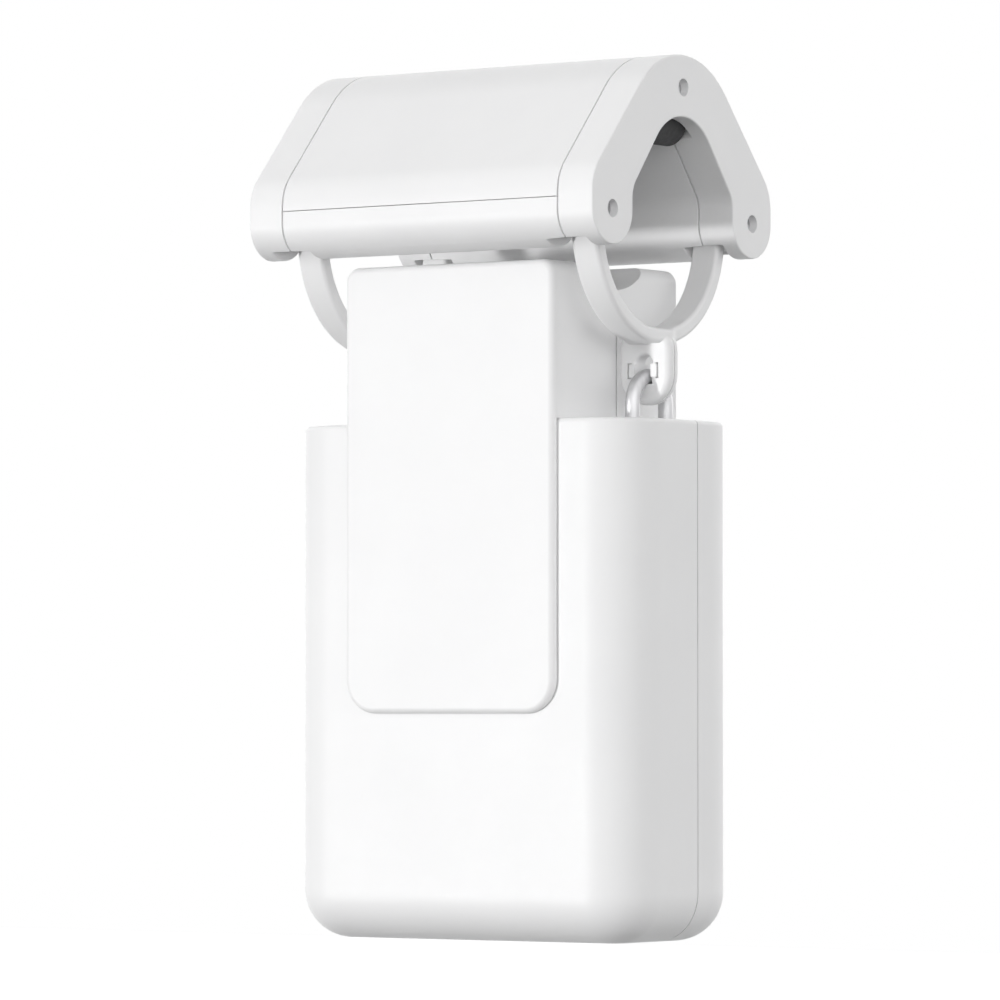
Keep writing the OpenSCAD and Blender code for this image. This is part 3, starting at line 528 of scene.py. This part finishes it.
def keyhole(bm, x):
    """The arched hole of a tab."""
    outline = [(x - KEY_HALF, BAR_TOP), (x + KEY_HALF, BAR_TOP)]
    add_bar(bm, 1, -4.0, 4.0, outline + arc((x, KEY_TOP - KEY_HALF), KEY_HALF, range(0, 181, 9)))


def block_lines(bm, x):
    """A fine groove round each end of the block, wider at one end."""
    inner, low, high, fine, wide = 2.85, BLOCK_LOW, BLOCK_TOP, 0.28, 0.7
    for face in (-1, 1):
        for side in (-1, 1):
            outer = BLOCK_HALF + (fine if side * face < 0 else wide)
            outline = [(inner, low - fine), (outer, low - fine), (outer, high + fine), (inner, high + fine),
                       (inner, high), (BLOCK_HALF, high), (BLOCK_HALF, low), (inner, low)]
            add_bar(bm, 1, face * 0.9, face * 2.5, [(x + side * px, pz) for px, pz in outline])


def hoop_fillet(p, edge):
    """Only the rim of the keyhole is rounded here, widest above the block."""
    if not near(abs(p.y), TAB_HALF) or abs(abs(p.x) - HOOP_X) > 2.0 or p.z > HOOP_BOTTOM - 1.4:
        return 0.0
    return 0.8 if p.z > BLOCK_TOP else 0.35


for side, x in (("left", -HOOP_X), ("right", HOOP_X)):
    bm = combine(tool("strap_" + side, strap, x), [
        ("UNION", tool("eyes_" + side, lobe_rods, x, EYE_HALF, EYE_R)),
        ("UNION", tool("tab_" + side, tab, x)),
        ("UNION", tool("block_" + side, tab_block, x)),
        ("DIFFERENCE", tool("bores_" + side, lobe_rods, x, 5.0, EYE_BORE_R)),
        ("DIFFERENCE", tool("keyhole_" + side, keyhole, x)),
        ("DIFFERENCE", tool("lines_" + side, block_lines, x)),
    ])
    piece = finish_piece("hoop_" + side + "_dressed", bm, hoop_fillet, 3)
    place(piece, "hanger", WHITE, "white_plastic", "hoop_" + side)


# Case

SEAM_MIDDLE = CASE_SEAM + 0.45
SEAM_HALF = 0.15
TOP_EDGE_R = 1.0
HOOK_HOLE_R = 1.88
NECK_HOLE = ((-23.3, -18.5), (23.3, 20.9))
PORT_HALF, PORT_R, PORT_Y = 3.04, 1.83, -0.63
BUTTON_HOLE = ((15.0, -0.9), 3.3)
LIGHT_HOLE = ((-14.0, -0.9), 1.3)
POST_R = 2.6
POSTS = [(x, z) for x in (-24.5, 24.5) for z in (-56.5, -84.9)]
QUARTERS = (
    (-90, CASE_HALF - FRONT_R, CASE_FRONT + FRONT_R, FRONT_R),
    (0, CASE_HALF - BACK_R, CASE_BACK - BACK_R, BACK_R),
    (90, BACK_R - CASE_HALF, CASE_BACK - BACK_R, BACK_R),
    (180, FRONT_R - CASE_HALF, CASE_FRONT + FRONT_R, FRONT_R),
)


def case_ring(bm, inset, lift=None, dip=0.0):
    """One closed ring of points, at a height or where the bottom rounding dips by an angle."""
    z = lift
    if lift is None:
        z = CASE_BOTTOM + BASE_R - (BASE_R - inset) * math.sin(dip)
    ring = []
    for start, x, y, r in QUARTERS:
        reach = r - BASE_R + (BASE_R - inset) * math.cos(dip)
        ring += arc((x, y), reach, [start + 4.5 * step for step in range(21)])
    return add_points(bm, [(x, y, z) for x, y in ring])


def case_body(name, inset, top_r):
    """The closed rounded body of the case, drawn in by an inset, with a filleted top edge."""
    bm = bmesh.new()
    rings = []
    for step in range(18):
        rings.append(case_ring(bm, inset, dip=math.radians(90 - 5 * step - (0.01 if step == 0 else 0))))
    rings.append(case_ring(bm, inset))
    for step in range(7):
        turn = math.radians(15 * step)
        lift = CASE_TOP - inset - top_r * (1 - math.sin(turn))
        rings.append(case_ring(bm, inset + top_r * (1 - math.cos(turn)), lift))
    skin(bm, rings)
    bmesh.ops.remove_doubles(bm, verts=bm.verts[:], dist=2e-6)
    bmesh.ops.dissolve_degenerate(bm, edges=bm.edges[:], dist=1e-7)
    bmesh.ops.recalc_face_normals(bm, faces=bm.faces[:])
    return mesh_object(name, bm)


def post_rods(bm, r, y0, y1):
    """Round bars on the axes of the case screws."""
    for centre in POSTS:
        add_rod(bm, 1, y0, y1, centre, r, 44)


def top_holes(bm):
    """The openings of the case's top, for the neck and the hook legs."""
    low, high = CASE_TOP - WALL - 1, CASE_TOP + 1
    add_block(bm, (*NECK_HOLE[0], low), (*NECK_HOLE[1], high))
    for x in (-HOOP_X, HOOP_X):
        for y in (-HOOK_Y, HOOK_Y):
            add_rod(bm, 2, low, high, (x, y), HOOK_HOLE_R)


def base_holes(bm):
    """The openings of the case's base: the charging port, the button and the light."""
    low, high, sides = CASE_BOTTOM - 1, CASE_BOTTOM + WALL + 1, 24
    slot = [(side * PORT_HALF + PORT_R * math.sin(side * math.pi * i / sides),
             PORT_Y - side * PORT_R * math.cos(math.pi * i / sides))
            for side in (1, -1) for i in range(sides + 1)]
    add_bar(bm, 2, low, high, slot)
    for centre, r in (BUTTON_HOLE, LIGHT_HOLE):
        add_rod(bm, 2, low, high, centre, r)


def case_fillet(p, edge):
    """The seam keeps its plain edges. The openings are rounded."""
    if near(p.y, SEAM_MIDDLE, 0.2):
        return 0.0
    if near(p.z, CASE_TOP) or near(p.z, CASE_BOTTOM) or p.y > CASE_BACK - 0.1:
        return 0.25
    return 0.0


def case_shell(name, node, y0, y1, post_y, cuts):
    """One half of the case, between two planes, with its screw posts and openings."""
    base = case_body(name, 0.0, TOP_EDGE_R)
    steps = [("DIFFERENCE", case_body(name + "_inner", WALL, 0.05)),
             ("UNION", tool(name + "_posts", post_rods, POST_R, *post_y))]
    for i, cut in enumerate(cuts):
        steps.append(("DIFFERENCE", tool(f"{name}_cut_{i}", *cut)))
    steps.append(("INTERSECT", tool(name + "_half", add_block, (-60, y0, -170), (60, y1, 0))))
    piece = finish_piece(name, combine(base, steps), case_fillet, 3)
    place(piece, "drive_unit", WHITE, "white_plastic", node)


case_shell("case_front", "case_front_shell", -60, SEAM_MIDDLE - SEAM_HALF,
           (CASE_FRONT + WALL - 0.3, CASE_SEAM + 1),
           [(top_holes,), (base_holes,), (post_rods, 1.11, CASE_FRONT + WALL + 2, CASE_SEAM + 2)])
case_shell("case_rear", "case_rear_shell", SEAM_MIDDLE + SEAM_HALF, 60,
           (CASE_SEAM - 1, CASE_BACK - WALL + 0.3),
           [(top_holes,), (post_rods, 1.15, CASE_SEAM - 2, CASE_BACK + 1),
            (post_rods, 2.25, CASE_BACK - 2.2, CASE_BACK + 1)])


# Neck and panel

NECK_OUT = 0.3
NECK_SIDE = NECK_HALF + NECK_OUT
NECK_GAP = 0.2
TOP_R = 3.0
PANEL_SKIN = -22.3


def neck_shape(bm, open_by):
    """Opens the seam, sets the neck down on the case and brings its sides out to the edge of the panel."""
    shift_plane(bm, 1, NECK_SEAM, open_by)
    shift_plane(bm, 2, CASE_TOP + 0.2, -0.18)
    for side in (-1, 1):
        shift_plane(bm, 0, side * NECK_HALF, side * NECK_OUT)


def neck_foot(bm):
    """The foot of the neck, which fills the rounding of the case's front edge."""
    reach = TOP_EDGE_R + 0.02
    turns = [math.radians(10 * i) for i in range(1, 10)]
    y, z = CASE_FRONT + TOP_EDGE_R, CASE_TOP - TOP_EDGE_R
    outline = [(CASE_FRONT, CASE_TOP + 0.05)]
    outline += [(y - reach * math.cos(turn), z + reach * math.sin(turn)) for turn in turns]
    outline.append((y, CASE_TOP + 0.05))
    add_bar(bm, 0, -NECK_SIDE, NECK_SIDE, outline)


def neck_corners(bm):
    """Cuts the two top corners of the neck to the rounding of the panel."""
    outline = [(NECK_SIDE + 1, PANEL_TOP + 1), (NECK_SIDE + 1, PANEL_TOP - TOP_R)]
    outline += arc((NECK_SIDE - TOP_R, PANEL_TOP - TOP_R), TOP_R, range(0, 91, 6))
    outline.append((NECK_SIDE - TOP_R, PANEL_TOP + 1))
    for side in (-1, 1):
        add_bar(bm, 1, -30, 30, [(side * x, z) for x, z in outline])


def neck_fillet(p, edge):
    """The outer edges are rounded, most of all at the back, and so are the edges across the top."""
    if p.z < CASE_TOP + 0.06:
        return 0.0
    if abs(p.y - NECK_SEAM) < 0.3:
        return 0.1
    across, up = abs(p.x) - NECK_SIDE + TOP_R, p.z - PANEL_TOP + TOP_R
    outer = abs(p.x) > NECK_SIDE - 0.03 or near(p.z, PANEL_TOP)
    if outer or (across > 0 and up > 0 and math.hypot(across, up) > TOP_R - 0.1):
        if near(p.y, CASE_FRONT):
            return 0.1
        if near(p.y, NECK_BACK):
            return 0.7
        return 0.1 if p.z > CASE_TOP + 1 else 0.2
    along = (edge.verts[1].co - edge.verts[0].co).normalized()
    return 0.25 if p.z > CASE_TOP and abs(along.x) > 0.9 else 0.0


def neck_shell(node, open_by, extra):
    """One half of the neck, with its top corners cut round."""
    bm = cad_bmesh(node)
    neck_shape(bm, open_by)
    base = mesh_object(node + "_base", bm)
    bm = combine(base, [("DIFFERENCE", tool(node + "_corners", neck_corners))])
    for shape in extra:
        shape(bm)
    place(finish_piece(node + "_dressed", bm, neck_fillet, 4), "drive_unit", WHITE, "white_plastic", node)


def panel_fillet(p, edge):
    return 1.25 if p.y < PANEL_SKIN else 0.0


neck_shell("neck_front_shell", -NECK_GAP, [neck_foot])
neck_shell("neck_rear_shell", NECK_GAP, [])
dress("front_panel", "drive_unit", WHITE, "white_plastic", panel_fillet, 5)


# Springs

def spring(bm, x, y):
    """A round wire coil with closed ends, standing on the yoke."""
    turns, steps, sides, r, wire = 9.0, 40, 12, 2.3, 0.4
    low, high = YOKE_TOP + 0.1 + wire, SPRING_TOP - 0.1 - wire
    dead = 0.9
    rings = []
    for i in range(int(turns * steps) + 1):
        turn = i / steps
        free = min(max((turn - dead) / (turns - 2 * dead), 0.0), 1.0)
        closed = 2 * wire * (min(turn, dead) + max(turn - turns + dead, 0.0))
        z = low + closed + free * (high - low - 4 * wire * dead)
        angle = 2 * math.pi * turn
        section = arc((r, z), wire, [360 * s / sides for s in range(sides)])
        rings.append(add_points(bm, [(x + across * math.cos(angle), y + across * math.sin(angle), height)
                                     for across, height in section]))
    skin(bm, rings)


def springs(bm):
    for x in (-HOOP_X, HOOP_X):
        for y in (-HOOK_Y, HOOK_Y):
            spring(bm, x, y)


coils = tool("hook_springs_wire", springs)
for polygon in coils.data.polygons:
    polygon.use_smooth = len(polygon.vertices) == 4
place(coils, "hanger", STEEL, "steel", "hook_springs")
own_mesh(coils)


# Nodes that keep their shape

paint(HOOK, "hook_left", "hook_right")
paint(STEEL, "end_cap_screws", "idler_axles", "hook_yokes", "case_screws", "plate_standoffs", "gear_axles",
      "motor", "motor_shaft", "wheel_shaft", "charging_port")
paint(BRASS, "wheel_bushes", "motor_pinion")
paint(RUBBER, "drive_wheel_tyre", "idler_tyre_left", "idler_tyre_right")
paint(DARK, "idler_core_left", "idler_core_right", "set_switch")
paint(INNER, "hook_guide_left", "hook_guide_right", "gear_plate_front", "gear_plate_mid", "gear_plate_rear",
      "drive_wheel_hub", "battery_tray")
paint(GEAR, "first_stage_gear", "second_stage_gear", "wheel_gear")
paint(WRAP, "battery_cells")
paint(BOARD, "circuit_board")
paint(WHITE, "set_button")
paint(CLEAR, "light_pipe")


# Camera, floor and light

YAW, PITCH = math.radians(35.32), math.radians(-1.88)
back = Vector((math.sin(YAW) * math.cos(PITCH), -math.cos(YAW) * math.cos(PITCH), math.sin(PITCH)))
right = Vector((math.cos(YAW), math.sin(YAW), 0))
up = back.cross(right)
camera = link_object("camera", bpy.data.cameras.new("camera"))
camera.data.lens = 228.29
camera.data.sensor_width = 36.0
camera.data.sensor_fit = "HORIZONTAL"
camera.data.clip_start = 0.01
camera.data.clip_end = 100.0
camera.matrix_world = Matrix.Translation(Vector((755.32, -1069.81, -101.01)) * MM) @ Matrix((
    (right.x, up.x, back.x, 0), (right.y, up.y, back.y, 0), (right.z, up.z, back.z, 0), (0, 0, 0, 1)))
bpy.context.scene.camera = camera


def seen_rays(tree):
    """1 for camera, glossy and transmission rays, 0 for the rays that light the object."""
    path = tree.nodes.new("ShaderNodeLightPath")
    total = path.outputs["Is Camera Ray"]
    for name in ("Is Glossy Ray", "Is Transmission Ray"):
        node = tree.nodes.new("ShaderNodeMath")
        node.operation = "MAXIMUM"
        tree.links.new(total, node.inputs[0])
        tree.links.new(path.outputs[name], node.inputs[1])
        total = node.outputs[0]
    return total


world = bpy.data.worlds.new("studio")
bpy.context.scene.world = world
world.use_nodes = True
tree = world.node_tree
light = tree.nodes["Background"]
heading = tree.nodes.new("ShaderNodeTexCoord")
parts = tree.nodes.new("ShaderNodeSeparateXYZ")
sky = tree.nodes.new("ShaderNodeValToRGB")
for place_at, level in ((0.20, 0.72), (0.50, 0.30)):
    sky.color_ramp.elements.new(place_at).color = (level, level, level, 1)
sky.color_ramp.elements[0].color = (0.98, 0.98, 0.98, 1)
sky.color_ramp.elements[-1].color = (0.20, 0.20, 0.20, 1)
tree.links.new(heading.outputs["Generated"], parts.inputs[0])
tree.links.new(parts.outputs["Z"], sky.inputs["Fac"])
tree.links.new(sky.outputs["Color"], light.inputs["Color"])
light.inputs["Strength"].default_value = 1.52
white = tree.nodes.new("ShaderNodeBackground")
white.inputs["Color"].default_value = (1, 1, 1, 1)
white.inputs["Strength"].default_value = 1.0
mix = tree.nodes.new("ShaderNodeMixShader")
tree.links.new(seen_rays(tree), mix.inputs["Fac"])
tree.links.new(light.outputs[0], mix.inputs[1])
tree.links.new(white.outputs[0], mix.inputs[2])
tree.links.new(mix.outputs[0], tree.nodes["World Output"].inputs["Surface"])

# Metres
FLOOR_HALF = 30.0
FLOOR_Z = -1.5

floor_mesh = bpy.data.meshes.new("floor")
corners = [(x * FLOOR_HALF, y * FLOOR_HALF, FLOOR_Z) for x, y in ((-1, -1), (1, -1), (1, 1), (-1, 1))]
floor_mesh.from_pydata(corners, [], [(0, 1, 2, 3)])
floor = link_object("floor", floor_mesh)
ground = Shader("floor", Roughness=0.9)
seen = seen_rays(ground.tree)
shade = ground.add("ShaderNodeMapRange")
shade.inputs["To Min"].default_value = 0.08
shade.inputs["To Max"].default_value = 0.95
glow = ground.add("ShaderNodeMath", operation="MULTIPLY")
glow.inputs[1].default_value = 0.62
ground.link(seen, shade.inputs["Value"])
ground.link(seen, glow.inputs[0])
ground.link(shade.outputs["Result"], ground.bsdf.inputs["Base Color"])
ground.link(glow.outputs[0], ground.bsdf.inputs["Emission Strength"])
ground.bsdf.inputs["Emission Color"].default_value = (1, 1, 1, 1)
floor_mesh.materials.append(ground.material)
floor.visible_shadow = False


def sun(name, towards, strength, spread):
    """A soft distant lamp that shines from a direction."""
    lamp = bpy.data.lights.new(name, "SUN")
    lamp.energy = strength
    lamp.angle = math.radians(spread)
    link_object(name, lamp).rotation_euler = Vector(towards).to_track_quat("Z", "Y").to_euler()


sun("key", (-0.46, -0.88, -0.12), 1.42, 4)
sun("fill", (0.78, -0.62, -0.04), 1.10, 80)
sun("back", (-0.35, 0.93, 0.10), 1.2, 90)

bpy.context.scene.view_settings.view_transform = "Standard"
